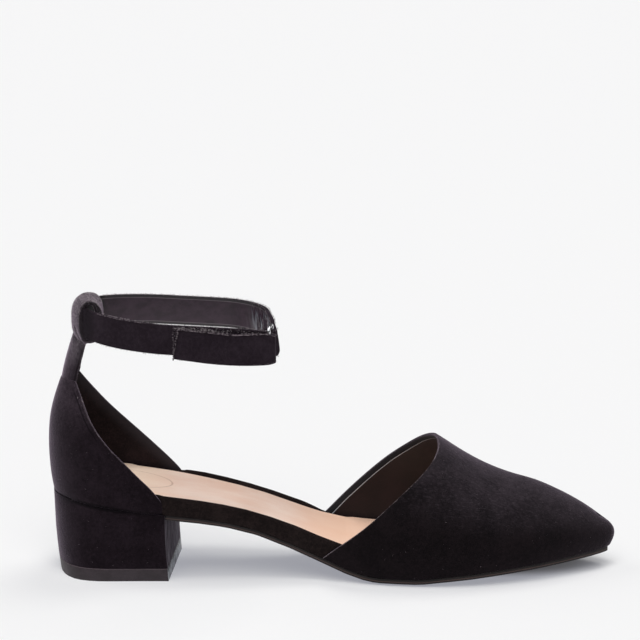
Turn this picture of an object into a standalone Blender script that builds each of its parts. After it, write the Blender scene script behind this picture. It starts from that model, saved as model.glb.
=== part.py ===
"""Black suede court shoe with a pointed toe, cut-away sides, a low block heel and an ankle strap.

It is a right shoe. It stands on z = 0 with the toe along +X and the outer side along -Y.
Sizes are millimetres, and MM turns them into Blender's metres where a mesh is made.
A station is a distance forward from the back of the heel, and side is -1 outside, +1 inside.
"""

import math
from collections import namedtuple
from functools import lru_cache

import bmesh
import bpy
import numpy as np

MM = 0.001
OBJECT_NAME = "court_shoe"

# Whole shoe
SHOE_LENGTH = 263.6
MIDLINE = 1.3
GAP = 0.3
MERGE = 0.25

# Sole layers
OUTSOLE_THICK = 2.2
SOCK_THICK = 1.0
OUTSOLE_INSET = 0.9
OUTSOLE_TIP_TRIM = 0.4
BOARD_INSET_WAIST = 0.4
BOARD_INSET_UPPER = 2.4
RIM_INNER = 4.0
RIM_ROUND = 1.6
SOCK_INSET = 2.8
SOCK_STEP = 3.0
CROWN_FLAT = 0.5
ROUND_START = 0.09
CROWN_SHARES = (-1.0, -0.78, -CROWN_FLAT, CROWN_FLAT, 0.78, 1.0)

# Heel
BREAST_STATION = 57.0
BREAST_SKEW = math.tan(math.radians(3.5))
BREAST_FADE = 30.0
LIFT_HEIGHT = 6.0
HEEL_TUCK = 2.9
HEEL_REACH = 1.5
HEEL_TAPER = 0.03
HEEL_SQUARE = 1.3

# Upper
VAMP_WALL = 1.6
COUNTER_WALL = 1.8
NOSE_PUSH = 2.4
NOSE_LEAN = 3.4
NOSE_STATION = 236.0
NOSE_HALF_WIDTH = 8.0
COUNTER_SEAM = 90.6

# Back tab and its loop
TAB_WALL = 1.8
TAB_DEPTH = 6.9
TAB_TOP = 111.2
TAB_TOP_DROP = 3.2
LOOP_STATION = 18.1
LOOP_HEIGHT = 118.2
LOOP_DEEP = 6.4
LOOP_TALL = 10.2
LOOP_HALF_WIDTH = 8.5
LOOP_BEND = 25.0
LOOP_ROUND = 0.78

# Ankle strap and ring
STRAP_WIDTH = 13.8
STRAP_THICK = 2.0
STRAP_BACK = 16.4
STRAP_BACK_REACH = 43.0
STRAP_OUTER = -30.3
STRAP_INNER = 29.7
STRAP_FRONT_BEND = 77.0
STRAP_FRONT = 102.0
STRAP_FRONT_SIDE = 4.0
FLAP_START = 88.0
FLAP_END = 60.6
FLAP_START_DROP = 2.8
FLAP_END_DROP = 1.2
RING_DROP = 1.8
FOLD_LEVEL = 0.3
FOLD_GAP = 0.5
TAIL_END = (100.9, -5.3)
TAIL_BEND = (102.0, -14.5)
RING_WIRE = 0.9
RING_FAR_BAR = (104.6, -19.3)
RING_NEAR_BAR = (103.4, -28.0)
RING_HALF_HEIGHT = 8.5
RING_CORNER = 2.4


def table(columns, *rows):
    row_type = namedtuple("Row", columns)
    return tuple(row_type(*row) for row in rows)


# Line where the upper meets the sole, seen from above
OUTLINE = table(
    "station centre half",
    (2.2, 0.5, 0.0),
    (5.0, 0.4, 10.5),
    (9.0, 0.2, 16.2),
    (15.0, -0.2, 21.0),
    (22.0, -0.5, 24.4),
    (30.0, -0.9, 26.2),
    (40.0, -1.3, 26.8),
    (56.0, -1.1, 26.2),
    (79.0, -0.9, 23.6),
    (96.0, -1.1, 22.4),
    (112.0, -1.3, 22.2),
    (126.0, -0.8, 24.2),
    (138.0, 0.0, 28.0),
    (150.0, 0.8, 32.0),
    (163.0, 1.4, 34.9),
    (176.0, 1.3, 35.8),
    (190.0, 1.0, 35.0),
    (206.0, 0.6, 31.5),
    (223.0, 1.0, 26.0),
    (240.0, 1.9, 18.2),
    (251.0, 2.7, 11.4),
    (257.0, 3.3, 6.9),
    (261.6, 3.8, 0.0),
)

# Side view of the sole: underside of the board, top of the sock, lift of the sole's edges
PROFILE = table(
    "station underside footbed edge_lift",
    (0.0, 37.9, 46.0, 0.0),
    (28.0, 34.75, 43.2, 0.0),
    (56.0, 31.6, 39.5, 0.0),
    (80.0, 28.0, 35.3, 0.0),
    (96.0, 24.0, 31.4, 0.0),
    (112.7, 17.4, 25.7, 0.0),
    (126.5, 11.2, 20.3, 0.2),
    (138.0, 6.2, 16.4, 0.6),
    (146.0, 3.6, 14.3, 0.9),
    (154.0, 2.5, 12.8, 1.0),
    (170.0, 2.5, 11.1, 1.0),
    (182.0, 3.4, 10.2, 1.2),
    (206.0, 5.4, 10.4, 1.3),
    (239.0, 8.0, 11.9, 1.0),
    (262.0, 9.8, 13.2, 0.0),
)

# Back of the counter and tab, seen from the side, and how much narrower the heel is higher up
BACK_CURVE = table(
    "height station width",
    (30.0, 2.2, 1.0),
    (37.0, 2.2, 1.0),
    (45.0, 0.8, 1.0),
    (59.0, 0.0, 1.0),
    (70.0, 0.5, 0.9),
    (78.0, 2.0, 0.79),
    (84.0, 3.9, 0.68),
    (91.0, 6.4, 0.56),
    (102.0, 9.4, 0.52),
    (112.0, 12.6, 0.5),
)

# Cut edge of the counter on each side
COUNTER_EDGE = table(
    "height outer inner",
    (37.0, 54.2, 62.0),
    (42.2, 50.8, 57.4),
    (49.2, 43.8, 50.2),
    (57.0, 36.4, 41.8),
    (63.0, 30.2, 35.4),
    (74.4, 21.2, 24.9),
    (84.1, 16.6, 18.2),
    (90.6, 13.4, 14.2),
)

# Crest of the vamp: its height, its place across, and the swell of the walls below it
CREST = table(
    "station height across swell",
    (110.0, 84.0, 4.0, 6.0),
    (130.0, 79.0, 4.0, 6.0),
    (150.0, 73.0, 4.0, 6.2),
    (170.0, 66.0, 4.0, 6.6),
    (180.0, 62.2, 4.0, 6.6),
    (184.0, 59.6, 4.0, 6.6),
    (192.5, 53.9, 3.8, 6.2),
    (203.7, 47.9, 3.6, 5.6),
    (214.9, 43.6, 3.5, 5.0),
    (226.0, 40.6, 3.5, 4.4),
    (237.4, 35.7, 3.6, 3.6),
    (248.7, 29.9, 3.7, 2.6),
    (256.0, 26.1, 3.8, 1.6),
    (261.6, 23.2, 3.8, 0.6),
)

# Cut edge of the vamp: the station it reaches at each angle from sole (0) to crest (90)
VAMP_EDGE = table(
    "angle outer inner",
    (0.0, 127.6, 122.0),
    (9.0, 136.2, 130.4),
    (15.0, 142.6, 135.8),
    (25.0, 152.6, 145.6),
    (35.0, 161.6, 155.4),
    (46.0, 170.2, 165.0),
    (60.0, 178.0, 173.2),
    (76.0, 181.4, 179.2),
    (90.0, 181.0, 181.0),
)

# Middle height of the strap as it slopes down from back to front
STRAP_SLOPE = table(
    "station height",
    (10.0, 119.2),
    (40.0, 116.4),
    (70.0, 114.5),
    (110.0, 113.2),
)

# Stretch of the footbed's edge that is free of the upper on each side
WAIST = table(
    "side start full fade stop",
    (-1, 55.0, 57.0, 123.0, 126.4),
    (1, 62.8, 64.8, 117.0, 120.8),
)

# Rolled rim of the footbed, which runs out under the upper
RIM = table(
    "side start full fade stop height",
    (-1, 40.0, 47.0, 136.0, 146.0, 2.0),
    (1, 40.0, 72.0, 116.0, 138.0, 2.9),
)


def smooth(rows, column, at):
    """A column of a table at a key between its rows, on a cubic that never overshoots them."""
    keys = [row[0] for row in rows]
    values = [getattr(row, column) for row in rows]
    return cubic(keys, values, at)


def cubic(keys, values, at):
    slopes = [(values[i + 1] - values[i]) / (keys[i + 1] - keys[i]) for i in range(len(keys) - 1)]
    i = 0
    while i < len(slopes) - 1 and at > keys[i + 1]:
        i += 1
    before = blend_slope(slopes, i)
    after = blend_slope(slopes, i + 1)
    span = keys[i + 1] - keys[i]
    u = min(max((at - keys[i]) / span, 0.0), 1.0)
    rise = values[i + 1] - values[i]
    return (
        values[i]
        + span * before * u * (1 - u) ** 2
        + rise * u * u * (3 - 2 * u)
        - span * after * u * u * (1 - u)
    )


def blend_slope(slopes, i):
    """Slope at a row: the harmonic mean of its two spans, or flat at a turn."""
    if i == 0 or i == len(slopes):
        return slopes[min(i, len(slopes) - 1)]
    low, high = slopes[i - 1], slopes[i]
    return 0.0 if low * high <= 0 else 2 * low * high / (low + high)


def ramp(at, start, end):
    """0 before start and 1 after end, easing in between."""
    u = min(max((at - start) / (end - start), 0.0), 1.0)
    return u * u * (3 - 2 * u)


def spaced(count, start, end):
    return [start + (end - start) * i / (count - 1) for i in range(count)]


def turn_of(station):
    """Angle that runs evenly round both ends of the outline, so that they come out round."""
    back, tip = OUTLINE[0].station, OUTLINE[-1].station
    share = min(max((station - back) / (tip - back), 0.0), 1.0)
    return math.acos(1 - 2 * share)


def outline(column, station):
    keys = [turn_of(row.station) for row in OUTLINE]
    values = [getattr(row, column) for row in OUTLINE]
    return cubic(keys, values, turn_of(station))


@lru_cache(maxsize=None)
def inset_edge(side, inset):
    """Stations and places across of one side of the outline, moved in square to itself."""
    back, tip = OUTLINE[0].station, OUTLINE[-1].station
    turns = np.linspace(0.0, math.pi, 241)
    stations = back + (tip - back) * (1 - np.cos(turns)) / 2
    across = np.array([outline("centre", s) + side * outline("half", s) for s in stations])
    along, sideways = np.gradient(stations, turns), np.gradient(across, turns)
    length = np.hypot(along, sideways)
    moved_station = stations - side * inset * -sideways / length
    moved_across = across - side * inset * along / length
    keep = np.concatenate(([True], np.diff(np.maximum.accumulate(moved_station)) > 0))
    return moved_station[keep], moved_across[keep]


def edge(side, station, inset):
    return float(np.interp(station, *inset_edge(side, inset)))


def ends(inset):
    """First and last station of the outline moved in."""
    return OUTLINE[0].station + inset, OUTLINE[-1].station - inset


def crown(share):
    """Share of the edge lift at a place across the sole, flat in the middle."""
    return (max(abs(share) - CROWN_FLAT, 0.0) / (1 - CROWN_FLAT)) ** 2


def underside(station, share=0.0):
    return smooth(PROFILE, "underside", station) + crown(share) * smooth(PROFILE, "edge_lift", station)


def place(station, across, height):
    """Metres in the shoe's frame, whose origin is under the middle of its box."""
    return ((station - SHOE_LENGTH / 2) * MM, (across - MIDLINE) * MM, height * MM)


def material(name, colour, roughness, metallic=0.0):
    made = bpy.data.materials.new(name)
    made.use_nodes = True
    shader = made.node_tree.nodes["Principled BSDF"]
    shader.inputs["Base Color"].default_value = (*colour, 1.0)
    shader.inputs["Roughness"].default_value = roughness
    shader.inputs["Metallic"].default_value = metallic
    return made


def finish(name, work, look, collection):
    """Named object from a bmesh, with its faces turned outwards."""
    bmesh.ops.remove_doubles(work, verts=work.verts, dist=MERGE * MM)
    bmesh.ops.recalc_face_normals(work, faces=work.faces)
    mesh = bpy.data.meshes.new(name)
    work.to_mesh(mesh)
    work.free()
    mesh.shade_smooth()
    mesh.set_sharp_from_angle(angle=math.radians(40))
    mesh.materials.append(look)
    made = bpy.data.objects.new(name, mesh)
    collection.objects.link(made)
    return made


def loft(name, rings, look, collection):
    """Closed solid through rings of equal count, capped at both ends."""
    work = bmesh.new()
    loops = [[work.verts.new(place(*point)) for point in ring] for ring in rings]
    count = len(rings[0])
    for low, high in zip(loops, loops[1:]):
        for i in range(count):
            j = (i + 1) % count
            work.faces.new((low[i], low[j], high[j], high[i]))
    work.faces.new(loops[0])
    work.faces.new(loops[-1])
    return finish(name, work, look, collection)


def sheet(name, rows, look, collection):
    """Open surface through rows of points."""
    work = bmesh.new()
    grid = bmesh.ops.create_grid(work, x_segments=len(rows[0]) - 1, y_segments=len(rows) - 1)
    points = [point for row in rows for point in row]
    for vert, point in zip(grid["verts"], points):
        vert.co = place(*point)
    return finish(name, work, look, collection)


def thicken(made, wall, offset):
    shell = made.modifiers.new("wall", "SOLIDIFY")
    shell.thickness = wall * MM
    shell.offset = offset
    shell.use_even_offset = True
    shell.use_quality_normals = True
    return made


# Sole


def breast_shift(across, station):
    """Forward shift of a cross-section that follows the slanted heel breast, fading further on."""
    return BREAST_SKEW * across * (1 - ramp(station, BREAST_STATION, BREAST_STATION + BREAST_FADE))


def outsole(look, collection):
    tip = ends(OUTSOLE_INSET)[1] - OUTSOLE_TIP_TRIM
    start = BREAST_STATION + GAP
    stations = {start + (tip - start) * math.sin(turn) for turn in spaced(24, 0.0, math.pi / 2)}
    stations |= {row.station for row in PROFILE if start < row.station < tip}
    rings = []
    for station in sorted(stations):
        outer, inner = edge(-1, station, OUTSOLE_INSET), edge(1, station, OUTSOLE_INSET)
        low, high = [], []
        for share in CROWN_SHARES:
            across = (outer + inner) / 2 + share * (inner - outer) / 2
            along = station + breast_shift(across, station)
            top = underside(along, share) - GAP
            high.append((along, across, top))
            low.append((along, across, top - OUTSOLE_THICK))
        rings.append(low + high[::-1])
    return loft("outsole", rings, look, collection)


def on_side(rows, side):
    return next(row for row in rows if row.side == side)


def waist_share(side, station):
    """1 where the footbed's edge shows between counter and vamp, 0 where the upper covers it."""
    row = on_side(WAIST, side)
    return ramp(station, row.start, row.full) * (1 - ramp(station, row.fade, row.stop))


def layer_stations(count, inset):
    """Stations of a footbed layer: close together at the round ends, and at every change of its edge."""
    back, tip = ends(inset)
    turns = spaced(count, ROUND_START, math.pi - ROUND_START)
    stations = {back + (tip - back) * (1 - math.cos(turn)) / 2 for turn in turns}
    for row in WAIST:
        stations |= {row.start, (row.start + row.full) / 2, row.full}
        stations |= {row.fade, (row.fade + row.stop) / 2, row.stop}
    for row in RIM:
        stations |= {row.start - SOCK_STEP, row.start, row.full}
        stations |= {row.fade, row.stop, row.stop + SOCK_STEP}
    return sorted(stations)


def board_inset(side, station):
    return BOARD_INSET_UPPER + waist_share(side, station) * (BOARD_INSET_WAIST - BOARD_INSET_UPPER)


def board_edge(side, station):
    free = waist_share(side, station)
    covered = edge(side, station, BOARD_INSET_UPPER)
    return covered + free * (edge(side, station, BOARD_INSET_WAIST) - covered)


def board_top(station):
    return smooth(PROFILE, "footbed", station) - SOCK_THICK - GAP


def board_side(side, station, size):
    """Side and rolled rim of the board from its lower corner to the recess for the sock."""
    across = board_edge(side, station)
    width = (RIM_INNER - board_inset(side, station)) * size
    row = on_side(RIM, side)
    rise = ramp(station, row.start, row.full) * (1 - ramp(station, row.fade, row.stop))
    floor = board_top(station)
    rim = floor + row.height * rise
    steps = (
        (0.0, rim - RIM_ROUND * size),
        (0.2, rim - RIM_ROUND * size / 4),
        (0.5, rim),
        (0.8, floor + (rim - floor) * 0.8),
        (1.0, floor),
    )
    return [(station, across - side * width * inward, height) for inward, height in steps]


def footbed_board(look, collection):
    rings = []
    for station in layer_stations(34, BOARD_INSET_UPPER):
        outer, inner = board_edge(-1, station), board_edge(1, station)
        middle, half = (outer + inner) / 2, (inner - outer) / 2
        size = min(1.0, half / 4)
        low = [(station, middle + share * half, underside(station, share)) for share in CROWN_SHARES]
        rings.append(low + board_side(1, station, size) + board_side(-1, station, size)[::-1])
    return loft("footbed_board", rings, look, collection)


def sock_edge(side, station):
    """Edge of the sock: close to the upper, and further in beside the rim."""
    row = on_side(RIM, side)
    beside = ramp(station, row.start - SOCK_STEP, row.start)
    beside *= 1 - ramp(station, row.stop, row.stop + SOCK_STEP)
    covered = edge(side, station, SOCK_INSET)
    return covered + beside * (edge(side, station, RIM_INNER + GAP) - covered)


def insole_sock(look, collection):
    rings = []
    for station in layer_stations(30, SOCK_INSET):
        outer, inner = sock_edge(-1, station), sock_edge(1, station)
        top = smooth(PROFILE, "footbed", station)
        low = top - SOCK_THICK
        rings.append(
            [(station, outer, low), (station, inner, low), (station, inner, top), (station, outer, top)]
        )
    return loft("insole_sock", rings, look, collection)


# Heel


def breast_corner(side):
    """Station where the breast meets the outline on one side."""
    station = BREAST_STATION
    for _ in range(4):
        station = BREAST_STATION + BREAST_SKEW * edge(side, station, 0.0)
    return station


def heel_ring(height=None):
    """Outline of the heel at a height, or at its seat, from the outer corner of the breast round the back.

    Lower down it tucks in under the seat, and its back gets squarer.
    """
    back = OUTLINE[0].station
    turns = spaced(15, math.pi / 2, 0.0)
    ring = []
    for side, order in ((-1, turns), (1, turns[-2::-1])):
        corner = breast_corner(side)
        for turn in order:
            station = back + (corner - back) * (1 - math.cos(turn))
            top = underside(station) - GAP
            level = top if height is None else height
            low = (1 - level / top) ** 2
            wide = back + (corner - back) * (1 - max(math.cos(turn), 0.0) ** (1 + HEEL_SQUARE * low))
            forward = (station - back) / (BREAST_STATION - back)
            moved = station + low * (HEEL_TUCK + (HEEL_REACH - HEEL_TUCK) * forward)
            middle = outline("centre", station)
            across = middle + (edge(side, wide, 0.0) - middle) * (1 - HEEL_TAPER * low)
            ring.append((moved, across, level))
    return ring


def heel_block(look, collection):
    levels = (LIFT_HEIGHT + GAP, 12.0, 20.0, None)
    return loft("heel_block", [heel_ring(level) for level in levels], look, collection)


def top_lift(look, collection):
    return loft("top_lift", [heel_ring(0.0), heel_ring(LIFT_HEIGHT)], look, collection)


# Upper


def heel_wall(side, station, height):
    """Point of the heel's outer surface at a station and a height."""
    back = smooth(BACK_CURVE, "station", height)
    base = OUTLINE[0].station + max(station - back, 0.0)
    half = outline("half", base) * smooth(BACK_CURVE, "width", height)
    return (station, outline("centre", base) + side * half, height)


def counter(look, collection):
    """Wall round the heel: upright columns from the seat to the cut edge, or to the tab's seam."""
    columns = []
    ground = underside(OUTLINE[1].station)
    for side, column in ((-1, "outer"), (1, "inner")):
        half_columns = []
        for top in spaced(15, COUNTER_EDGE[0].height, COUNTER_EDGE[-1].height):
            station = smooth(COUNTER_EDGE, column, top)
            heights = spaced(9, underside(station), top)
            half_columns.append([heel_wall(side, station, height) for height in heights])
        last = getattr(COUNTER_EDGE[-1], column)
        for turn in spaced(6, math.pi / 2, 0.0)[1:]:
            wall = []
            for height in spaced(9, ground, COUNTER_SEAM):
                back = smooth(BACK_CURVE, "station", height)
                wall.append(heel_wall(side, back + (last - back) * (1 - math.cos(turn)), height))
            half_columns.append(wall)
        columns += half_columns if side < 0 else half_columns[-2::-1]
    made = sheet("counter", columns, look, collection)
    return thicken(made, COUNTER_WALL, -1.0)


def vamp_point(side, station, angle):
    """Point of the vamp's outer surface, from the sole (angle 0) to the crest (90 degrees)."""
    base = underside(station, 1.0)
    crest = smooth(CREST, "height", station)
    middle = smooth(CREST, "across", station)
    swell = smooth(CREST, "swell", station) * math.sin(2 * angle) * math.cos(angle) * width_left(station)
    reach = outline("centre", station) + side * outline("half", station) - middle
    lean = max((station - NOSE_STATION) / (OUTLINE[-1].station - NOSE_STATION), 0.0) ** 3
    push = NOSE_PUSH * math.sin(3 * angle) - NOSE_LEAN * (1 - math.cos(angle))
    return (
        station + lean * push,
        middle + reach * math.cos(angle) + side * swell,
        base + (crest - base) * math.sin(angle),
    )


def width_left(station):
    """1 along the foot, falling to 0 at the very tip so that both sides meet there."""
    return min(1.0, outline("half", station) / NOSE_HALF_WIDTH)


def vamp(look, collection):
    tip = OUTLINE[-1].station
    climb = spaced(13, 0.0, 90.0)
    rows = []
    for turn in spaced(24, 0.0, math.pi / 2):
        row = []
        for side, column, angles in ((-1, "outer", climb), (1, "inner", climb[-2::-1])):
            for angle in angles:
                start = smooth(VAMP_EDGE, column, angle)
                station = start + (tip - start) * math.sin(turn)
                row.append(vamp_point(side, station, math.radians(angle)))
        rows.append(row)
    made = sheet("vamp", rows, look, collection)
    return thicken(made, VAMP_WALL, -1.0)


# Back tab


def loop_shift(across):
    """Forward shift of the loop as it bends round the back of the ankle."""
    return across * across / (2 * LOOP_BEND)


def fuller(share):
    """Share of a half size along an oval that is fuller at its corners than an ellipse."""
    return math.copysign(abs(share) ** LOOP_ROUND, share)


def tab_loop(look, collection):
    """Flattened tube of suede close round the strap, bent round the back of the ankle."""
    rows = []
    for across in spaced(7, -LOOP_HALF_WIDTH, LOOP_HALF_WIDTH):
        row = []
        for turn in spaced(29, 0.0, 2 * math.pi):
            station = LOOP_STATION + loop_shift(across) + LOOP_DEEP * fuller(math.cos(turn))
            row.append((station, across, LOOP_HEIGHT + LOOP_TALL * fuller(math.sin(turn))))
        rows.append(row)
    return thicken(sheet("tab_loop", rows, look, collection), TAB_WALL, -1.0)


def back_tab(look, collection, guides):
    """Half-round strip up the back, joined to the loop that carries the strap."""
    columns = []
    for share in spaced(13, -1.0, 1.0):
        side = -1 if share < 0 else 1
        turn = abs(share) * math.pi / 2
        top = TAB_TOP - TAB_TOP_DROP * share * share
        wall = []
        for height in spaced(8, COUNTER_SEAM + GAP, top):
            back = smooth(BACK_CURVE, "station", height)
            wall.append(heel_wall(side, back + TAB_DEPTH * (1 - math.cos(turn)), height))
        columns.append(wall)
    made = thicken(sheet("back_tab", columns, look, collection), TAB_WALL, -1.0)
    loop = tab_loop(look, guides)
    join = made.modifiers.new("loop", "BOOLEAN")
    join.operation = "UNION"
    join.object = loop
    return made


# Ankle strap and ring


def arc(centre, radius, start, end, count):
    """Points of an arc seen from above, angles in degrees from +X towards +Y."""
    points = []
    for angle in spaced(count, math.radians(start), math.radians(end)):
        points.append((centre[0] + radius * math.cos(angle), centre[1] + radius * math.sin(angle)))
    return points


def strap_route():
    """The strap's middle line seen from above and its drop below the slope, from sewn tail to free end."""
    fold = RING_WIRE + FOLD_GAP + STRAP_THICK / 2
    layer = STRAP_THICK + GAP
    far, near = RING_FAR_BAR, RING_NEAR_BAR
    middle = (STRAP_OUTER + STRAP_INNER) / 2
    half = (STRAP_INNER - STRAP_OUTER) / 2
    far_drop, near_drop = RING_DROP - FOLD_LEVEL, RING_DROP + FOLD_LEVEL
    route = [
        (*TAIL_END, far_drop),
        (*TAIL_BEND, far_drop),
    ]
    route += [(*point, far_drop) for point in arc(far, fold, 180, 360, 9)]
    for turn in spaced(9, 0.0, math.pi / 2):
        station = STRAP_FRONT_BEND + (STRAP_FRONT - STRAP_FRONT_BEND) * math.cos(turn)
        across = STRAP_FRONT_SIDE + (STRAP_INNER - STRAP_FRONT_SIDE) * math.sin(turn)
        route.append((station, across, 0.0))
    for turn in spaced(25, math.pi / 2, -math.pi / 2):
        station = STRAP_BACK + STRAP_BACK_REACH * (1 - math.cos(turn))
        route.append((station, middle + half * math.sin(turn), 0.0))
    route.append((FLAP_START, STRAP_OUTER, 0.0))
    route += [(*point, near_drop) for point in arc(near, fold, 90, -90, 9)]
    route.append((FLAP_START, STRAP_OUTER - layer, FLAP_START_DROP))
    route.append((FLAP_END, STRAP_OUTER - layer, FLAP_END_DROP))
    return route


def ankle_strap(look, collection):
    half = STRAP_WIDTH / 2
    rows = []
    for rise in (-half, half):
        row = []
        for station, across, drop in strap_route():
            row.append((station, across, smooth(STRAP_SLOPE, "height", station) - drop + rise))
        rows.append(row)
    made = sheet("ankle_strap", rows, look, collection)
    return thicken(made, STRAP_THICK, 0.0)


def strap_ring(look, collection):
    """Upright wire ring: two bars for the strap's folds, joined above and below by round corners."""
    far, near = RING_FAR_BAR, RING_NEAR_BAR
    height = smooth(STRAP_SLOPE, "height", near[0]) - RING_DROP
    width = math.dist(far, near)
    points = []
    corners = ((1, 1, 0), (0, 1, 90), (0, -1, 180), (1, -1, 270))
    for along, up, start in corners:
        centre = width * along + RING_CORNER * (1 - 2 * along)
        level = up * (RING_HALF_HEIGHT - RING_CORNER)
        for x, z in arc((centre, level), RING_CORNER, start, start + 90, 5):
            share = x / width
            station = far[0] + (near[0] - far[0]) * share
            across = far[1] + (near[1] - far[1]) * share
            points.append((station, across, height + z))
    curve = bpy.data.curves.new("strap_ring", "CURVE")
    curve.dimensions = "3D"
    curve.bevel_depth = RING_WIRE * MM
    curve.bevel_resolution = 2
    spline = curve.splines.new("POLY")
    spline.points.add(len(points) - 1)
    for target, point in zip(spline.points, points):
        target.co = (*place(*point), 1.0)
    spline.use_cyclic_u = True
    curve.materials.append(look)
    made = bpy.data.objects.new("strap_ring", curve)
    collection.objects.link(made)
    return made


def new_collection(name):
    made = bpy.data.collections.new(name)
    bpy.context.scene.collection.children.link(made)
    return made


def main():
    for old in list(bpy.data.objects):
        bpy.data.objects.remove(old, do_unlink=True)
    shoe = new_collection(OBJECT_NAME)
    guides = new_collection(OBJECT_NAME + "_joined")

    suede = material("black_suede", (0.012, 0.010, 0.012), 0.95)
    rubber = material("brown_rubber", (0.045, 0.036, 0.036), 0.6)
    tan = material("tan_leather", (0.78, 0.56, 0.42), 0.5)
    metal = material("bright_metal", (0.8, 0.8, 0.82), 0.2, metallic=1.0)

    outsole(rubber, shoe)
    footbed_board(suede, shoe)
    insole_sock(tan, shoe)
    heel_block(suede, shoe)
    top_lift(rubber, shoe)
    vamp(suede, shoe)
    counter(suede, shoe)
    back_tab(suede, shoe, guides)
    ankle_strap(suede, shoe)
    strap_ring(metal, shoe)

    for guide in guides.objects:
        guide.hide_render = True
        guide.display_type = "WIRE"


if __name__ == "__main__":
    main()
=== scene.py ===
"""Looks of a black suede court shoe with a pointed toe, cut-away sides, a block heel and an ankle strap.

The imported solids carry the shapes. Each is copied, smoothed and dressed here in suede, lining, tan leather,
rubber or metal, and stands on a pale studio floor. Places and lengths are in millimetres until MM makes them
metres: x runs towards the toe, y towards the inner side and z up.
"""

import math
import random

import bmesh
import bpy
from mathutils import Matrix, Vector
from mathutils.kdtree import KDTree


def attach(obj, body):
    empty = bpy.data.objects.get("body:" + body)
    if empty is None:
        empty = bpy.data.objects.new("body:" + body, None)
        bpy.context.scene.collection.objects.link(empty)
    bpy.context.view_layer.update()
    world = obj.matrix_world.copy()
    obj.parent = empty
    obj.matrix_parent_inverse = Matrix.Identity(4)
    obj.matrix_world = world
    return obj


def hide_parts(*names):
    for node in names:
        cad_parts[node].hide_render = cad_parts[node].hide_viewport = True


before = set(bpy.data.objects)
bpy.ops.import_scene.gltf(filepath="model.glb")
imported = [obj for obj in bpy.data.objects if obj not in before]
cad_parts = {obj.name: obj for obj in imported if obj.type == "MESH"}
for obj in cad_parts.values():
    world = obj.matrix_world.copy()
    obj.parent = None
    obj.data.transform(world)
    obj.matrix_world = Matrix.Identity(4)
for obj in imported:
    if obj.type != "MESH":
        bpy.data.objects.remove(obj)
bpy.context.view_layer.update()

MM = 0.001

# The frame's origin is HALF_LENGTH ahead of the heel's back, and MIDLINE inward of the part's own centre line
HALF_LENGTH = 131.8
MIDLINE = 1.3

# Heights of the strap's lower edge, middle and upper edge by the ring
STRAP_LOW, STRAP_MIDDLE, STRAP_HIGH = 105.0, 112.0, 119.0

# Place across of the folded flap's face, and place along of its end
FLAP_FACE = -33.0
FLAP_END = -70.0

# Height where the tab widens into its loop, and the middle of the loop's hole, seen from the side
LOOP_FOOT = 107.0
LOOP_HOLE = Vector((-112.5, 0.0, 117.5))

# Stations of the counter's front corners, outer side first
COUNTER_FRONT = (53.0, 60.8)

# Stations where the footbed's edge widens and narrows at the waist, outer side first: as packed, and as shown
PACKED_WAIST = ((55.0, 57.0, 123.0, 126.4), (62.8, 64.8, 117.0, 120.8))
SHOWN_WAIST = ((53.0, 54.9, 128.0, 136.0), (61.9, 62.7, 122.0, 136.0))

# A sharp edge turns by more than SHARP, and a face looks down when its normal's z is below DOWN
SHARP = math.radians(50)
DOWN = -0.7

# Slots of a suede piece
SUEDE_SIDE, LINED_SIDE, CUT_EDGE, SOLE_EDGE = range(4)

# Modifiers of a piece, applied in order
SMOOTH_ONCE = (("SUBSURF", {"levels": 1, "render_levels": 1}),)
SMOOTH_TWICE = (("SUBSURF", {"levels": 2, "render_levels": 2}),)
MELT = (
    ("REMESH", {"mode": "VOXEL", "voxel_size": 0.35 * MM}),
    ("SMOOTH", {"factor": 0.5, "iterations": 10}),
)

# Stray fibres grow by chance, and are made a tuft at a time
TUFT = 150
chance = random.Random(4)


def spot(station, across, height):
    """Place in the frame from a station, counted from the heel's back, a place across and a height."""
    return Vector((station - HALF_LENGTH, across - MIDLINE, height))


class Value:
    """A number that varies over a surface. Arithmetic on it adds Math nodes."""

    def __init__(self, finish, socket):
        self.finish = finish
        self.socket = socket

    def math(self, operation, *numbers):
        return self.finish.node("ShaderNodeMath", {"operation": operation}, dict(enumerate(numbers)))

    def __add__(self, other):
        return self.math("ADD", self, other)

    def __sub__(self, other):
        return self.math("SUBTRACT", self, other)

    def __rsub__(self, other):
        return self.math("SUBTRACT", other, self)

    def __mul__(self, other):
        return self.math("MULTIPLY", self, other)

    __radd__ = __add__
    __rmul__ = __mul__


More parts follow.
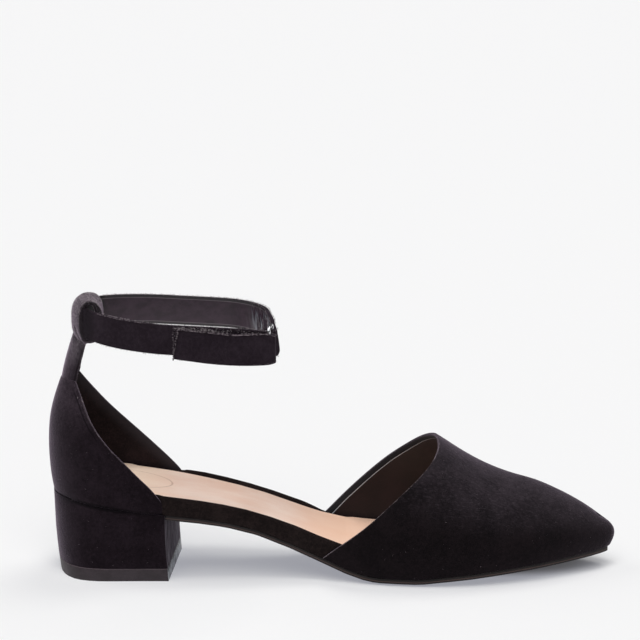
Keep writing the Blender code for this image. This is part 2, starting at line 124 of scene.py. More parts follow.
class Finish:
    """One material, built up node by node."""

    def __init__(self, name):
        self.material = bpy.data.materials.new(name)
        self.material.use_nodes = True
        self.tree = self.material.node_tree
        self.shader = self.tree.nodes["Principled BSDF"]
        self.where = self.node("ShaderNodeTexCoord", {}, {}, "Object")

    def node(self, kind, settings, sockets, out=0):
        made = self.tree.nodes.new(kind)
        for key, value in settings.items():
            setattr(made, key, value)
        for key, value in sockets.items():
            self.feed(made.inputs[key], value)
        return Value(self, made.outputs[out])

    def feed(self, socket, value):
        if isinstance(value, Value):
            self.tree.links.new(value.socket, socket)
        else:
            socket.default_value = value

    def noise(self, size, detail=2.0, rough=0.5, where=None):
        """Soft noise whose patches are about size millimetres across."""
        place = where or self.where
        sockets = {"Vector": place, "Scale": 1 / (size * MM), "Detail": detail, "Roughness": rough}
        return self.node("ShaderNodeTexNoise", {}, sockets)

    def stretched(self, turn, reach):
        """Object coordinates for a grain drawn out along turned axes, by its reach along each."""
        sockets = {"Vector": self.where, "Rotation": turn, "Scale": reach}
        return self.node("ShaderNodeMapping", {"vector_type": "TEXTURE"}, sockets)

    def height(self):
        return self.node("ShaderNodeSeparateXYZ", {}, {0: self.where}, "Z")

    def above(self, low, high):
        """0 below the height low and 1 above high, in millimetres."""
        return self.rise(self.height(), low * MM, high * MM)

    def ahead(self, low, high):
        """0 behind the place low along the shoe and 1 ahead of high, in millimetres."""
        along = self.node("ShaderNodeSeparateXYZ", {}, {0: self.where}, "X")
        return self.rise(along, low * MM, high * MM)

    def attribute(self, name):
        return self.node("ShaderNodeAttribute", {"attribute_name": name}, {}, "Fac")

    def rise(self, value, low, high):
        """0 below low and 1 above high, easing in between."""
        sockets = {"Value": value, "From Min": low, "From Max": high}
        return self.node("ShaderNodeMapRange", {"interpolation_type": "SMOOTHSTEP"}, sockets)

    def line(self, value, middle, half):
        """1 where a value is near middle, fading out half away from it."""
        return self.rise(value, middle - half, middle) * (1 - self.rise(value, middle, middle + half))

    def mix(self, share, first, second):
        return self.node("ShaderNodeMix", {"data_type": "RGBA"}, {0: share, 6: first, 7: second}, 2)

    def bump(self, height, depth, strength=1.0, under=None):
        sockets = {"Height": height, "Distance": depth * MM, "Strength": strength}
        if under:
            sockets["Normal"] = under
        return self.node("ShaderNodeBump", {}, sockets)

    def surface(self, **sockets):
        for name, value in sockets.items():
            self.feed(self.shader.inputs[name.replace("_", " ")], value)
        return self.material


def linear(level):
    """Light of one channel of a screen colour, both from 0 to 1."""
    return ((level + 0.055) / 1.055) ** 2.4 if level > 0.04045 else level / 12.92


def shade(red, green, blue):
    """Colour as the eye reads it on a screen, 0 to 255, as the shader wants it."""
    return (linear(red / 255), linear(green / 255), linear(blue / 255), 1.0)


# Finishes

BLACK, SOOT = shade(12, 9, 10), shade(25, 19, 21)
WARM_BLACK, WARM_SOOT = shade(19, 13, 17), shade(35, 27, 33)
BROWN_BLACK, BROWN_SOOT = shade(23, 18, 18), shade(40, 32, 31)
# Greyer tones of the strap, the breast and the tab: partly painted sheen and light that falls on them
GREY_BLACK, GREY_SOOT, PALE_SOOT = shade(34, 27, 33), shade(48, 40, 47), shade(62, 53, 60)
# Pale tones of the loop: painted light and sheen on it
LIT_GREY, LIT_PALE = shade(62, 55, 61), shade(112, 104, 110)


class Suede(Finish):
    """Black suede with a fine nap and fuzz. Each method adds one thing that shows on it."""

    def __init__(self, name, dark, light, sheen=0.55):
        super().__init__(name)
        self.sheen = sheen
        self.brushed = self.noise(12, 3.0, 0.6)
        self.nap = self.noise(1.6, 3.0, 0.65)
        self.fuzz = self.noise(0.4, 2.0, 0.7)
        self.tone = self.rise(self.brushed * 0.35 + self.nap * 0.35 + self.fuzz * 0.3, 0.38, 0.64)
        self.colour = self.mix(self.tone, dark, light)

    def tint(self, share, colour):
        self.colour = self.mix(share, self.colour, colour)

    def paint_top_light(self, share):
        """Painted light: paler where the surface looks up towards the lamps, in patches of the brushed nap.
        """
        marks = self.rise(self.brushed * 0.6 + self.nap * 0.4, 0.3, 0.7) + 0.4
        self.tint(self.rise(self.attribute("upward"), 0.1, 0.95) * marks * share, shade(112, 102, 112))

    def stray(self, share):
        """Short pale fibres lying on the nap where the surface looks up."""
        along = self.stretched((0.0, 0.25, 0.1), (3.2, 1.0, 1.0))
        fibre = self.rise(self.noise(0.6, 2.0, 0.6, along), 0.5, 0.75)
        self.tint(fibre * self.rise(self.attribute("upward"), 0.1, 0.7) * share, shade(136, 124, 134))

    def paint_light_above(self, low, high, dark, light):
        """Painted light and sheen: paler tones, full above the height high and none below low."""
        self.tint(self.above(low, high), self.mix(self.tone, dark, light))

    def wear_edges(self):
        """Cut edges worn paler and frayed."""
        wear = self.attribute("edge_wear")
        frayed = self.attribute("from_edge") + (self.noise(0.7, 2.0) - 0.5) * (wear * 0.9)
        worn = (1 - self.rise(frayed, 0.02, wear * wear * 0.6 + 0.12)) * wear
        self.tint(worn, shade(150, 138, 140))

    def paint_seam_shade(self):
        """Painted shade: soft dark band along a seam, where the groove there is in shade, fainter towards the
        heel's front.
        """
        away = self.attribute("from_seam") + (self.nap - 0.5) * 0.8
        fading = 1 - self.ahead(-105, -84) * 0.55
        self.tint((1 - self.rise(away, 0.3, 1.7)) * fading * 0.85, shade(4, 3, 4))

    def bind_edge(self):
        """Binding folded over the upper part of a cut edge, with a dark line of painted shade in the groove
        beside it, and a few stitches.
        """
        high = self.above(60, 72) * (1 - self.above(85, 87))
        inward = self.attribute("from_edge") + (self.noise(4, 1.0) - 0.5) * 0.5
        self.tint(self.line(inward, 2.1, 0.5) * high * 0.85, shade(6, 4, 6))
        thread = self.rise(self.noise(1.2, 1.0), 0.6, 0.66) * self.line(inward, 1.1, 0.7)
        self.tint(thread * self.line(self.height(), 82.5 * MM, 3 * MM), shade(190, 178, 180))

    def paint_fold_highlights(self):
        """Painted highlights: pale upright streaks on the folds where the suede is drawn tight."""
        folds = self.noise(2.2, 3.0, 0.65, self.stretched((0, 0, 0), (1.0, 1.0, 7.0)))
        self.tint(self.rise(folds, 0.34, 0.7), shade(112, 107, 114))

    def shade_side(self):
        """Dark where the loop and the tab look away from the light."""
        self.tint(self.attribute("shaded") * 0.8, shade(12, 8, 11))

    def shade_start(self):
        """Dark where the strap comes out of the loop."""
        self.tint((1 - self.ahead(-112.5, -106)) * 0.8, shade(10, 7, 9))

    def done(self):
        soft = self.bump(self.brushed, 0.3, 0.4)
        soft = self.bump(self.nap, 0.16, 0.7, soft)
        soft = self.bump(self.fuzz, 0.1, 0.9, soft)
        return self.surface(
            Base_Color=self.colour,
            Roughness=0.95 - self.tone * 0.1,
            Normal=soft,
            Specular_IOR_Level=0.05,
            Sheen_Weight=self.sheen,
            Sheen_Roughness=0.38,
            Sheen_Tint=shade(220, 202, 222),
        )


def make_suedes():
    """The suede of each piece by its name."""
    vamp = Suede("vamp_suede", BLACK, SOOT)
    vamp.paint_top_light(0.1)
    vamp.stray(0.09)
    counter = Suede("counter_suede", WARM_BLACK, WARM_SOOT)
    counter.paint_light_above(66, 92, GREY_BLACK, PALE_SOOT)
    counter.paint_seam_shade()
    counter.bind_edge()
    heel = Suede("heel_suede", WARM_BLACK, WARM_SOOT)
    heel.paint_seam_shade()
    breast = Suede("breast_suede", GREY_BLACK, GREY_SOOT, sheen=0.12)
    breast.paint_fold_highlights()
    strap = Suede("strap_suede", GREY_BLACK, GREY_SOOT, sheen=0.14)
    strap.shade_start()
    tab = Suede("tab_suede", GREY_BLACK, PALE_SOOT, sheen=1.0)
    tab.paint_light_above(94, 109, LIT_GREY, LIT_PALE)
    tab.stray(0.2)
    tab.shade_side()
    board = Suede("board_suede", BROWN_BLACK, BROWN_SOOT, sheen=0.2)
    for suede in (vamp, counter, strap, tab):
        suede.wear_edges()
    made = (vamp, counter, heel, breast, strap, tab, board)
    return {suede.material.name.removesuffix("_suede"): suede.done() for suede in made}


def stray_fibre(name, dark, light):
    """Pale fibres that stand out of the suede."""
    fibre = Finish(name)
    colour = fibre.mix(fibre.rise(fibre.noise(0.9, 1.0), 0.4, 0.6), dark, light)
    return fibre.surface(Base_Color=colour, Roughness=0.8, Specular_IOR_Level=0.1)


def vamp_lining():
    """Dark smooth lining. The suede is turned in over it along the topline, and a pale seam parts the two."""
    lining = Finish("vamp_lining")
    turned_in = 3.0
    cloudy = lining.noise(14, 3.0, 0.55)
    pores = lining.noise(0.7, 2.0, 0.6)
    tone = lining.rise(cloudy * 0.7 + pores * 0.3, 0.35, 0.68)
    colour = lining.mix(tone, shade(26, 14, 16), shade(39, 23, 26))
    inward = lining.attribute("from_edge") + (lining.noise(5, 1.0) - 0.5) * 0.2
    strip = 1 - lining.rise(inward, turned_in - 0.1, turned_in + 0.1)
    low = 1 - lining.above(44, 60)
    seam = lining.line(inward, turned_in + 0.2, 0.24) * (0.25 + 0.75 * low)
    fuzz = lining.noise(0.45, 2.0, 0.7)
    colour = lining.mix(strip, colour, lining.mix(fuzz, shade(20, 21, 26), shade(44, 45, 52)))
    colour = lining.mix(seam, colour, shade(226, 234, 244))
    step = lining.bump(strip, 0.4, 0.8)
    return lining.surface(
        Base_Color=colour,
        Roughness=0.45 + pores * 0.15 + strip * 0.4,
        Normal=lining.bump(pores, 0.08, 0.6, step),
        Specular_IOR_Level=0.4,
        Sheen_Weight=0.1,
    )


def counter_lining():
    """Dark napped lining inside the counter, paler along its lip, a painted sheen."""
    lining = Finish("counter_lining")
    cloudy = lining.noise(9, 3.0, 0.6)
    nap = lining.noise(0.8, 3.0, 0.65)
    tone = lining.rise(cloudy * 0.5 + nap * 0.5, 0.36, 0.66)
    colour = lining.mix(tone, shade(26, 19, 20), shade(44, 33, 34))
    # Painted sheen along the lip
    lip = 1 - lining.rise(lining.attribute("from_edge") + nap * 2.0, 0.5, 8.0)
    colour = lining.mix(lip * 0.5, colour, shade(76, 73, 79))
    return lining.surface(
        Base_Color=colour,
        Roughness=0.92 - cloudy * 0.1,
        Normal=lining.bump(nap, 0.14, 0.7),
        Specular_IOR_Level=0.08,
        Sheen_Weight=0.3,
        Sheen_Roughness=0.45,
        Sheen_Tint=shade(214, 200, 206),
    )


def strap_lining():
    """Glossy dark lining of the strap, worn along it, creased at the front bend with painted highlights
    there, in painted shadow inside the loop, and edged with suede.
    """
    lining = Finish("strap_lining")
    worn = lining.noise(4, 4.0, 0.65, lining.stretched((0, 0, 0), (1.6, 1.6, 1.0)))
    pores = lining.noise(0.5, 2.0, 0.6)
    crease = lining.noise(2.4, 1.0, 0.5, lining.stretched((-0.2, -0.2, 0), (1.0, 1.0, 4.5)))
    bend = lining.ahead(-41, -33)
    loop_shadow = 1 - lining.ahead(-107.5, -105.5)
    inward = lining.attribute("from_edge")
    tone = lining.rise(worn * 0.8 + pores * 0.2, 0.36, 0.64)
    colour = lining.mix(tone, shade(41, 28, 39), shade(60, 44, 57))
    # Painted highlights on the creases at the front bend
    colour = lining.mix(lining.rise(crease, 0.5, 0.68) * bend * 0.6, colour, shade(160, 168, 178))
    colour = lining.mix(1 - lining.rise(inward, 1.0, 1.2), colour, shade(52, 48, 52))
    # Painted shadow inside the loop
    colour = lining.mix(loop_shadow, colour, shade(10, 7, 9))
    colour = lining.mix(lining.line(inward, 1.35, 0.25) * 0.6, colour, shade(132, 124, 130))
    relief = worn * 0.5 + pores * 0.15 + lining.rise(crease, 0.38, 0.62) * bend * 3.0
    return lining.surface(
        Base_Color=colour,
        Roughness=0.36 + worn * 0.16 - bend * 0.18,
        Normal=lining.bump(relief, 0.3, 0.9),
        Specular_IOR_Level=0.5,
    )


def oval_reach(finish, centre, long, wide):
    """Distance from a centre, 1 on an upright oval cylinder with the given half axes in millimetres."""
    scale = (1 / (long * MM), 1 / (wide * MM), 0.0)
    shift = tuple(-place * MM * factor for place, factor in zip(centre, scale))
    oval = finish.node("ShaderNodeMapping", {}, {"Vector": finish.where, "Location": shift, "Scale": scale})
    return finish.node("ShaderNodeVectorMath", {"operation": "LENGTH"}, {0: oval}, "Value")


def tan_leather():
    """Pale tan sock: smooth leather with soft clouds, fine pores, the pressed outline of a heel pad and
    painted light towards the heel.
    """
    tan = Finish("tan_leather")
    cloudy = tan.noise(16, 3.0, 0.55, tan.stretched((0, 0, 0.1), (2.0, 1.0, 1.0)))
    pores = tan.noise(0.6, 3.0, 0.6)
    tone = tan.rise(cloudy * 0.75 + pores * 0.25, 0.33, 0.68)
    colour = tan.mix(tone, shade(241, 204, 184), shade(250, 225, 210))
    # Painted light: paler towards the heel, where the counter shades the sock
    colour = tan.mix((1 - tan.ahead(-95, -68)) * 0.8, colour, shade(255, 228, 203))
    colour = tan.mix(tan.ahead(-30, 8) * 0.7, colour, shade(247, 201, 170))
    pad = oval_reach(tan, spot(35, -1.0, 0), long=22.5, wide=13.5)
    pressed = tan.line(pad, 1.0, 0.028)
    colour = tan.mix(pressed * 0.5, colour, shade(170, 134, 112))
    grain = tan.bump(pores, 0.05, 0.5)
    return tan.surface(
        Base_Color=colour,
        Roughness=0.40 + cloudy * 0.12,
        Normal=tan.bump(1 - pressed, 0.25, 0.8, grain),
        Specular_IOR_Level=0.35,
    )


def sole_rubber(name, dark, light, rough, highlight_in=None, highlight_height=None):
    """Matt rubber with a fine moulded grain and faint scuffs.

    It may have a reddish line round it, highlight_in from the tread's edge, a painted highlight on the round
    edge, or a paler edge above highlight_height, a painted highlight along its top.
    """
    rubber = Finish(name)
    cloudy = rubber.noise(7, 3.0, 0.6)
    grain = rubber.noise(0.5, 2.0, 0.6)
    rubbed = rubber.noise(3, 4.0, 0.7, rubber.stretched((0, 0, 0), (2.5, 1.0, 0.33)))
    scuff = rubber.rise(rubbed, 0.58, 0.72)
    colour = rubber.mix(rubber.rise(cloudy * 0.6 + grain * 0.4, 0.35, 0.65), dark, light)
    colour = rubber.mix(scuff * 0.2, colour, shade(96, 86, 88))
    if highlight_in:
        # Painted highlight: a reddish line on the round edge just above the tread
        edge_highlight = rubber.line(rubber.attribute("from_edge"), highlight_in, 0.35)
        colour = rubber.mix(edge_highlight, colour, shade(76, 58, 54))
    if highlight_height:
        # Painted highlight: paler along the top edge, with a ragged boundary
        ragged = rubber.height() + (rubber.noise(1.6, 3.0, 0.6) - 0.5) * (0.8 * MM)
        upper = rubber.rise(ragged, (highlight_height - 0.5) * MM, highlight_height * MM)
        colour = rubber.mix(upper, colour, shade(92, 80, 86))
    return rubber.surface(
        Base_Color=colour,
        Roughness=rough + scuff * 0.2,
        Normal=rubber.bump(grain + scuff * 0.5, 0.07, 0.6),
        Specular_IOR_Level=0.35,
    )


def lift_face():
    """Front of the heel's tread, where the rubber is cut: pale, a painted highlight of the glossy rubber,
    ragged where the suede ends above it.
    """
    rubber = Finish("lift_front")
    grain = rubber.noise(0.6, 3.0, 0.6)
    cloudy = rubber.noise(3, 3.0, 0.6)
    tone = rubber.rise(cloudy * 0.7 + grain * 0.3, 0.40, 0.60)
    colour = rubber.mix(tone, shade(92, 94, 99), shade(172, 176, 182))
    ragged = rubber.height() + (rubber.noise(2.6, 4.0, 0.7) - 0.5) * (9.0 * MM)
    colour = rubber.mix(rubber.rise(ragged, 4.6 * MM, 5.2 * MM), colour, shade(40, 38, 42))
    return rubber.surface(
        Base_Color=colour,
        Roughness=0.35 + grain * 0.2,
        Normal=rubber.bump(grain, 0.08, 0.6),
        Specular_IOR_Level=0.4,
    )


def bright_wire():
    """Silver-coloured wire with faint tarnish."""
    metal = Finish("bright_wire")
    tarnish = metal.noise(1.4, 3.0, 0.6)
    colour = metal.mix(metal.rise(tarnish, 0.45, 0.75), shade(232, 232, 236), shade(176, 174, 176))
    return metal.surface(Base_Color=colour, Metallic=1.0, Roughness=0.14 + tarnish * 0.2)


suedes = make_suedes()
edge_fibre = stray_fibre("edge_fibre", shade(62, 54, 60), shade(168, 156, 162))
fastening_fibre = stray_fibre("fastening_fibre", shade(84, 76, 82), shade(206, 196, 200))
lift_rubber = sole_rubber("lift_rubber", shade(46, 38, 42), shade(60, 51, 56), 0.5, highlight_height=6.0)
outsole_rubber = sole_rubber("outsole_rubber", shade(22, 17, 17), shade(38, 30, 29), 0.6, highlight_in=0.9)


# Shapes


def take(node):
    """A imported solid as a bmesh, with its loose triangles merged and joined to quads."""
    work = bmesh.new()
    work.from_mesh(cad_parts[node].data)
    bmesh.ops.remove_doubles(work, verts=work.verts, dist=0.001 * MM)
    bmesh.ops.join_triangles(
        work, faces=work.faces, angle_face_threshold=math.radians(30), angle_shape_threshold=math.radians(80)
    )
    for face in work.faces:
        face.material_index = SUEDE_SIDE
    return work


def smooth_groups(work):
    """Groups of faces bounded by sharp edges, largest first."""
    left = set(work.faces)
    groups = []
    while left:
        queue = [left.pop()]
        group = set(queue)
        while queue:
            for edge in queue.pop().edges:
                if edge.calc_face_angle(math.pi) < SHARP:
                    found = left.intersection(edge.link_faces)
                    left -= found
                    group |= found
                    queue += found
        groups.append(group)
    return sorted(groups, key=lambda group: -sum(face.calc_area() for face in group))


def part_sides(work):
    """Marks the outer side, the lined side, the cut edge and the edge on the sole of a wall."""
    outer, inner, *rims = smooth_groups(work)
    for face in inner:
        face.material_index = LINED_SIDE
    for rim in rims:
        facing = sum((face.normal * face.calc_area() for face in rim), Vector())
        for face in rim:
            face.material_index = SOLE_EDGE if facing.normalized().z < DOWN else CUT_EDGE


def edge_steps(edge):
    """Points close together along an edge."""
    low, high = (vert.co.copy() for vert in edge.verts)
    count = max(2, int((high - low).length / (0.4 * MM)))
    return [low.lerp(high, i / count) for i in range(count + 1)]


def edge_points(work, first, second):
    """Points close together along the edges where two kinds of face meet."""
    points = []
    for edge in work.edges:
        kinds = {face.material_index for face in edge.link_faces}
        if kinds == {first, second}:
            points += edge_steps(edge)
    return points


def sharp_points(work, facing_down=False):
    """Points close together along the sharp edges, or only along those of a face that looks down."""
    points = []
    for edge in work.edges:
        lowest = min((face.normal.z for face in edge.link_faces), default=0.0)
        if edge.calc_face_angle(0) > SHARP and (lowest < DOWN or not facing_down):
            points += edge_steps(edge)
    return points


def soften_edges(work, width):
    """Small round on every sharp edge, which also holds its shape when the mesh is smoothed."""
    sharp = [edge for edge in work.edges if edge.calc_face_angle(0) > SHARP]
    bmesh.ops.bevel(
        work, geom=sharp, affect="EDGES", offset=width * MM, offset_type="OFFSET", segments=2,
        profile=0.5, material=-1, clamp_overlap=True,
    )


def finish_piece(name, work, node, slot, finishes, changes=()):
    """Piece that rides on the shoe, with its modifiers applied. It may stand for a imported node."""
    mesh = bpy.data.meshes.new(name)
    work.to_mesh(mesh)
    work.free()
    piece = bpy.data.objects.new(name, mesh)
    bpy.context.scene.collection.objects.link(piece)
    for kind, settings in changes:
        modifier = piece.modifiers.new(kind, kind)
        for key, value in settings.items():
            setattr(modifier, key, value)
    if changes:
        graph = bpy.context.evaluated_depsgraph_get()
        piece.data = bpy.data.meshes.new_from_object(piece.evaluated_get(graph))
        piece.modifiers.clear()
        bpy.data.meshes.remove(mesh)
        piece.data.name = name
    piece.data.shade_smooth()
    if slot == "suede":
        add_values(piece, "upward", [vert.normal.z for vert in piece.data.vertices])
    for finish in finishes:
        piece.data.materials.append(finish)
    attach(piece, "root")
    if node:
        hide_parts(node)
    return piece


def point_tree(points):
    tree = KDTree(len(points))
    for i, point in enumerate(points):
        tree.insert(point, i)
    tree.balance()
    return tree


def add_values(piece, name, values):
    """Attribute with a number for each vertex."""
    piece.data.attributes.new(name, "FLOAT", "POINT").data.foreach_set("value", values)


def measure(piece, name, points):
    """Attribute with each vertex's distance from the given points, in millimetres."""
    tree = point_tree(points)
    add_values(piece, name, [tree.find(vert.co)[2] / MM for vert in piece.data.vertices])


def wear_down(piece, points, wear):
    """Attributes for a worn edge: the distance from it, and the wear there from 0 to 1."""
    measure(piece, "from_edge", points)
    add_values(piece, "edge_wear", [wear(vert.co / MM) for vert in piece.data.vertices])


def ramp(value, low, high):
    """0 at low and before, 1 at high and beyond, straight in between."""
    return min(max((value - low) / (high - low), 0.0), 1.0)


def press(piece, route, width, depth):
    """Soft trough along a route of places on a piece, pressed in along its normals."""
    vertices = piece.data.vertices
    surface = point_tree([vert.co for vert in vertices])
    route = [surface.find(place * MM)[0] for place in route]
    count = 20
    steps = []
    for low, high in zip(route, route[1:]):
        steps += [low.lerp(high, i / count) for i in range(count + 1)]
    tree = point_tree(steps)
    normals = [vert.normal.copy() for vert in vertices]
    for vert, normal in zip(vertices, normals):
        away = tree.find(vert.co)[2] / (width * MM)
        vert.co -= normal * (depth * MM * math.exp(-away * away))


# Stray fibres


def edge_roots(work, wear, density):
    """Roots for stray fibres along the sharp edges: a place and the way out of the edge there."""
    roots = []
    for edge in work.edges:
        if edge.calc_face_angle(0) > SHARP:
            low, high = (vert.co.copy() for vert in edge.verts)
            outward = sum((face.normal for face in edge.link_faces), Vector()).normalized()
            worn = wear((low + high) / 2 / MM)
            for _ in range(int((high - low).length / MM * density * worn + chance.random())):
                roots.append((low.lerp(high, chance.random()), outward))
    return roots


def face_roots(faces, share, density):
    """Roots for stray fibres over faces, thinned to a share: a place and the way out of the face there."""
    roots = []
    for face in faces:
        for _ in range(int(face.calc_area() / MM / MM * density + chance.random())):
            weights = [chance.random() for _ in face.verts]
            corners = (vert.co * weight for vert, weight in zip(face.verts, weights))
            place = sum(corners, Vector()) / sum(weights)
            if chance.random() < share(place / MM):
                roots.append((place, face.normal.copy()))
    return roots


def nap_roots(piece, kept, share, density):
    """Roots for stray fibres over the faces of a piece that are kept."""
    surface = bmesh.new()
    surface.from_mesh(piece.data)
    roots = face_roots([face for face in surface.faces if kept(face)], share, density)
    surface.free()
    return roots


def fray(name, fibre, roots, length, thick):
    """Stray fibres standing out of the suede at their roots, each a thin cone."""
    most_lean, shortest = 0.8, 0.4
    work = bmesh.new()
    for first in range(0, len(roots), TUFT):
        tuft = bmesh.new()
        for place, outward in roots[first:first + TUFT]:
            lean = Vector(chance.uniform(-most_lean, most_lean) for _ in range(3))
            way = (outward + lean).normalized()
            reach = length * chance.uniform(shortest, 1.0) * MM
            turn = way.to_track_quat("Z", "Y").to_matrix().to_4x4()
            bmesh.ops.create_cone(
                tuft, segments=3, radius1=thick * MM, radius2=thick * 0.2 * MM, depth=reach,
                matrix=Matrix.Translation(place + way * reach * 0.4) @ turn,
            )
        mesh = bpy.data.meshes.new("tuft")
        tuft.to_mesh(mesh)
        tuft.free()
        work.from_mesh(mesh)
        bpy.data.meshes.remove(mesh)
    return finish_piece(name, work, None, "suede", (fibre,))


def make_nap(name, pieces):
    """Single stray fibres here and there on the suede side of pieces."""
    roots = []
    for piece in pieces:
        roots += nap_roots(
            piece, kept=lambda face: face.material_index == SUEDE_SIDE, share=lambda place: 1.0, density=0.018
        )
    fray(name, edge_fibre, roots, length=0.9, thick=0.042)


# Upper


def make_wall(node, outside, lining, wear):
    """Hollow piece of the upper, suede outside and lined inside."""
    work = take(node)
    part_sides(work)
    topline = edge_points(work, SUEDE_SIDE, CUT_EDGE)
    seam = edge_points(work, SUEDE_SIDE, SOLE_EDGE)
    soften_edges(work, 0.3)
    finishes = (outside, lining, outside, outside)
    piece = finish_piece(node + "_upper", work, node, "suede", finishes, SMOOTH_TWICE)
    wear_down(piece, topline, wear)
    measure(piece, "from_seam", seam)
    return piece


def vamp_wear(place):
    """Wear of the vamp's topline, less at the crest."""
    return 0.65 - 0.2 * ramp(place.z, 45, 62)


def counter_wear(place):
    """Wear of the counter's topline, none at the seam under the tab and little down at the heel."""
    return 0.58 * ramp(place.z, 42, 58) * ramp(89.6 - place.z, 0.0, 6.0)


def make_counter():
    """Counter, let down on to the heel, with its front corners drawn out to run on to the sole at a slant."""
    slant, slant_top = 0.62, 37.6
    tuck_depth, tuck_top = 1.4, 40.5
    let_down = 0.45
    piece = make_wall("counter", suedes["counter"], counter_lining(), counter_wear)
    for vert in piece.data.vertices:
        place = vert.co / MM
        inner = place.y >= 0
        front = COUNTER_FRONT[inner] - HALF_LENGTH
        forward = slant * max(slant_top - place.z, 0.0) * ramp(place.x, front - 7.0, front)
        at_corner = ramp(place.x + forward, front - 2.7, front + 2.3)
        tuck = tuck_depth * at_corner * ramp(tuck_top - place.z, 0.0, 2.0)
        vert.co.x += forward * MM
        vert.co.y += (-tuck if inner else tuck) * MM
        vert.co.z -= let_down * (1 - ramp(place.z, 31.5, 34.0)) * ramp(-place.x, 60, 66) * MM
    press(piece, (Vector((-84.5, -28.9, 41.0)), Vector((-80.0, -28.9, 36.0))), width=0.7, depth=0.3)
    return piece


# Strap


def is_lined(place):
    """Whether the strap's inner side is lined at a place: round the ankle, not in the fold or on the flap."""
    beside_ankle = place.y > -17
    behind_fold = place.y > FLAP_FACE + 1 and place.x < -29.5
    return beside_ankle or behind_fold


def make_strap():
    """Ankle strap, lined where it faces the ankle and suede elsewhere, with frayed edges and a soft fold."""
    work = take("ankle_strap")
    medial = max(vert.co.y for vert in work.verts) - 4 * MM
    for side in smooth_groups(work)[:2]:
        if sum(face.normal.y for face in side if face.calc_center_median().y > medial) < 0:
            for face in side:
                if is_lined(face.calc_center_median() / MM):
                    face.material_index = LINED_SIDE
        else:
            under_flap = [face for face in work.faces if face in side and face.normal.y < -0.6]
    points = sharp_points(work)
    thin_roots = edge_roots(work, edge_fuzz, density=9)
    thick_roots = edge_roots(work, flap_wear, density=34)
    looped_roots = face_roots(under_flap, loop_fuzz, density=90)
    soften_edges(work, 0.35)
    round_fold(fray("strap_fibres", edge_fibre, thin_roots, length=0.8, thick=0.06))
    frayed_end = fray("flap_fibres", edge_fibre, thick_roots, length=1.2, thick=0.08)
    round_fold(frayed_end)
    lean_end(frayed_end)
    lean_end(fray("loop_fibres", fastening_fibre, looped_roots, length=1.1, thick=0.07))
    finishes = (suedes["strap"], strap_lining())
    piece = finish_piece("ankle_strap_suede", work, "ankle_strap", "suede", finishes, SMOOTH_TWICE)
    wear_down(piece, points, strap_wear)
    round_fold(piece)
    lean_end(piece)
    for station, across in ((99.6, 12.0), (101.2, 8.6), (95.6, 18.0)):
        high = spot(station - 1.5, across + 2, STRAP_HIGH - 1)
        low = spot(station + 1, across - 2, STRAP_LOW + 4)
        press(piece, (high, low), width=0.9, depth=0.35)


def round_fold(piece):
    """Draws in the corners of the fold at the ring and leans the part behind it, as soft suede does there."""
    for vert in piece.data.vertices:
        place = vert.co / MM
        share = ramp(place.x, -33, -26) ** 3 * ramp(-place.y, 14, 22)
        behind = ramp(place.x, -34, -28) * ramp(-place.y, 8, 14) * (1 - ramp(-place.y, 24, 27))
        high = place.z - STRAP_MIDDLE
        drawn_in = 0.2 if high > 0 else 0.07
        lean = 0.12 * high
        corner = 1.4 * ramp(-high, 3.5, 7.0) ** 2
        vert.co.z = (STRAP_MIDDLE + high * (1 - drawn_in * share)) * MM
        vert.co.x -= (lean + corner) * behind * MM


def lean_end(piece):
    """Leans the end of the folded flap towards the ring at its top, and lets its lower edge down a little."""
    most_lean, let_down = 2.2, 0.7
    for vert in piece.data.vertices:
        place = vert.co / MM
        folded = ramp(FLAP_FACE + 0.2 - place.y, 0.0, 0.6)
        at_end = ramp(FLAP_END + 12 - place.x, 0.0, 12.0)
        lean = most_lean * ramp(place.z, STRAP_LOW, STRAP_HIGH) ** 1.5 * at_end
        along_flap = ramp(place.x, FLAP_END - 2, FLAP_END + 15)
        low = let_down * (1 - ramp(place.z, STRAP_LOW, STRAP_MIDDLE)) * along_flap
        by_ring = ramp(place.x, -52, -44) * ramp(-place.y, 23, 26)
        vert.co.x += lean * folded * MM
        vert.co.z -= low * max(folded, by_ring) * MM


def upper_edge(place):
    """1 along the strap's upper edge and 0 along its lower one."""
    return ramp(place.z, STRAP_MIDDLE, STRAP_MIDDLE + 4)


def flap_wear(place):
    """1 along the top and the end of the strap's folded flap."""
    folded = ramp(FLAP_FACE - place.y, 0.0, 1.0) * ramp(-30 - place.x, 0.0, 4.0)
    end = ramp(FLAP_END + 1 - place.x, 0.0, 1.0) * ramp(place.z, STRAP_LOW - 1, STRAP_MIDDLE + 2)
    return folded * max(upper_edge(place), end)


def loop_fuzz(place):
    """Share of the fuzz of the fastening that shows along the flap's top, less towards the ring."""
    shown = ramp(place.x, FLAP_END - 1.5, FLAP_END - 0.5)
    fading = 1 - 0.85 * ramp(place.x, -50, -36)
    return shown * fading * ramp(place.z, STRAP_HIGH - 2.5, STRAP_HIGH - 0.5)


def strap_wear(place):
    """Wear of the strap's edges, a little more on the folded flap and none along the lower edge."""
    near = 0.22 - 0.04 * ramp(place.y, -20, 0)
    return near * upper_edge(place) + 0.1 * flap_wear(place)


def edge_fuzz(place):
    """Share of the stray fibres on the strap's edges, most by the loop and few along the lower edge."""
    by_loop = 0.9 * ramp(-84 - place.x, 0.0, 8.0) * ramp(place.x, -105, -103) * ramp(-12 - place.y, 0.0, 4.0)
    out_of_loop = ramp(place.x, -107, -105)
    return (0.3 + (0.2 + by_loop) * upper_edge(place)) * out_of_loop


# Back tab


